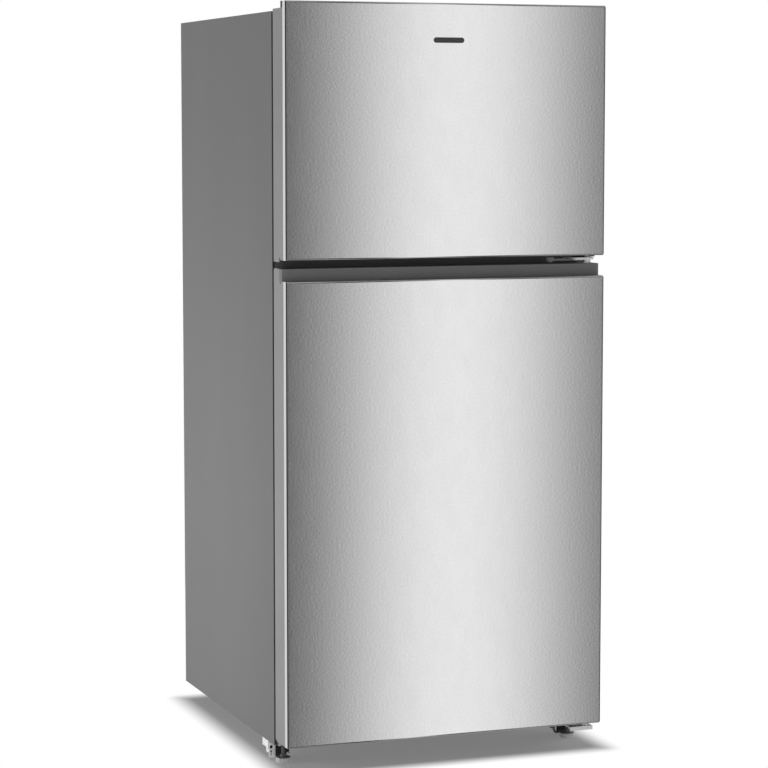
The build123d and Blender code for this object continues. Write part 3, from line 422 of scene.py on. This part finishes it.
def bell(tree, azimuth, centre, width, height):
    """A soft upright strip of light round one azimuth, in degrees."""
    offset = math_node(tree, "SUBTRACT", azimuth, math.radians(centre))
    wrapped = math_node(tree, "WRAP", offset, math.pi, -math.pi)
    scaled = math_node(tree, "DIVIDE", math_node(tree, "ABSOLUTE", wrapped), math.radians(width))
    raised = math_node(tree, "POWER", scaled, STRIP_POWER)
    fall = math_node(tree, "EXPONENT", math_node(tree, "MULTIPLY", raised, -0.5))
    return math_node(tree, "MULTIPLY", fall, height)


def background(tree, strength):
    """Background shader of one gray level, from a number or a socket."""
    node = add(tree, "ShaderNodeBackground", Strength=1.0)
    if isinstance(strength, (int, float)):
        node.inputs["Color"].default_value = gray(strength)
    else:
        tree.links.new(strength, node.inputs["Color"])
    return node.outputs["Background"]


def chosen(tree, fac, first, second):
    mix = add(tree, "ShaderNodeMixShader")
    tree.links.new(fac, mix.inputs["Fac"])
    tree.links.new(first, mix.inputs[1])
    tree.links.new(second, mix.inputs[2])
    return mix.outputs["Shader"]


def make_world():
    """White to the camera, even to matt surfaces, and a studio of strips to shiny ones."""
    world = bpy.data.worlds.new("studio")
    bpy.context.scene.world = world
    world.use_nodes = True
    tree = world.node_tree
    tree.nodes.clear()
    place = add(tree, "ShaderNodeTexCoord")
    split = add(tree, "ShaderNodeSeparateXYZ")
    tree.links.new(place.outputs["Generated"], split.inputs["Vector"])
    forward = math_node(tree, "MULTIPLY", split.outputs["Y"], -1.0)
    azimuth = math_node(tree, "ARCTAN2", split.outputs["X"], forward)
    level = STUDIO_LEVEL
    for centre, width, height in STRIPS:
        level = math_node(tree, "ADD", bell(tree, azimuth, centre, width, height), level)
    rise = add(tree, "ShaderNodeMapRange", interpolation_type="SMOOTHSTEP")
    tree.links.new(split.outputs["Z"], rise.inputs["Value"])
    rise.inputs["From Min"].default_value = OVERHEAD_RISE[0]
    rise.inputs["From Max"].default_value = OVERHEAD_RISE[1]
    rise.inputs["To Max"].default_value = OVERHEAD_LEVEL
    level = math_node(tree, "MAXIMUM", level, rise.outputs["Result"])

    path = add(tree, "ShaderNodeLightPath")
    even = background(tree, AMBIENT_LEVEL)
    matt = chosen(tree, path.outputs["Is Diffuse Ray"], background(tree, level), even)
    seen = chosen(tree, path.outputs["Is Camera Ray"], matt, background(tree, 1.0))
    out = add(tree, "ShaderNodeOutputWorld")
    tree.links.new(seen, out.inputs["Surface"])


def area_light(name, place, aim, side, power):
    """Square area light that shows in no reflection and not to the camera."""
    data = bpy.data.lights.new(name, "AREA")
    data.shape = "RECTANGLE"
    data.size = side
    data.size_y = side
    data.energy = power
    light = bpy.data.objects.new(name, data)
    bpy.context.scene.collection.objects.link(light)
    light.location = place
    light.rotation_euler = (Vector(aim) - Vector(place)).to_track_quat("-Z", "Y").to_euler()
    light.visible_glossy = False
    light.visible_camera = False


def make_lights():
    """Studio lights, and a lamp under the ceiling of each room."""
    for light in STUDIO_LIGHTS:
        area_light(*light)
    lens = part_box("light_lens")
    lamp = (0.0, lens[0][1] - 0.02, lens[0][2] - 0.01)
    area_light("fridge_lamp", lamp, (0.0, lamp[1], 0.2), *FRIDGE_LAMP)
    cold = (0.0, 0.0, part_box("evaporator_cover")[1][2] - 0.03)
    area_light("freezer_lamp", cold, (0.0, 0.0, 1.2), *FREEZER_LAMP)


def make_floor():
    """White floor with an even soft shadow painted round the part's footprint."""
    mesh = bpy.data.meshes.new("floor")
    reach = FLOOR_REACH
    corners = [(-reach, -reach, 0), (reach, -reach, 0), (reach, reach, 0), (-reach, reach, 0)]
    mesh.from_pydata(corners, [], [(0, 1, 2, 3)])
    floor = bpy.data.objects.new("floor", mesh)
    bpy.context.scene.collection.objects.link(floor)
    material, tree, shader = new_material("floor_paper", Roughness=0.9)
    shader.inputs["Specular IOR Level"].default_value = 0.0
    shader.inputs["Base Color"].default_value = gray(0.2)
    shader.inputs["Emission Color"].default_value = gray(1.0)
    shader.inputs["Emission Strength"].default_value = SHADOW_LEVEL
    place = add(tree, "ShaderNodeTexCoord")
    split = add(tree, "ShaderNodeSeparateXYZ")
    tree.links.new(place.outputs["Object"], split.inputs["Vector"])
    past = []
    outside = []
    for axis, half in (("X", HALF_WIDTH), ("Y", -LOW[1])):
        over = math_node(tree, "SUBTRACT", math_node(tree, "ABSOLUTE", split.outputs[axis]), half)
        past.append(over)
        clipped = math_node(tree, "MAXIMUM", over, 0.0)
        outside.append(math_node(tree, "MULTIPLY", clipped, clipped))
    inside = math_node(tree, "MINIMUM", math_node(tree, "MAXIMUM", *past), 0.0)
    distance = math_node(tree, "ADD", math_node(tree, "SQRT", math_node(tree, "ADD", *outside)), inside)
    blend = add(tree, "ShaderNodeMapRange", interpolation_type="SMOOTHSTEP")
    tree.links.new(distance, blend.inputs["Value"])
    blend.inputs["From Min"].default_value = SHADOW_EDGE[0]
    blend.inputs["From Max"].default_value = SHADOW_EDGE[1]
    white = add(tree, "ShaderNodeEmission", Strength=1.0)
    white.inputs["Color"].default_value = gray(1.0)
    joined = chosen(tree, blend.outputs["Result"], shader.outputs["BSDF"], white.outputs["Emission"])
    tree.links.new(joined, tree.nodes["Material Output"].inputs["Surface"])
    mesh.materials.append(material)
    floor.visible_glossy = False


make_camera()
make_world()
make_lights()
make_floor()
finish_cad_nodes()
make_gap_shade()
make_fold_shade()
make_dial_marks()
bpy.context.scene.view_settings.view_transform = "Standard"
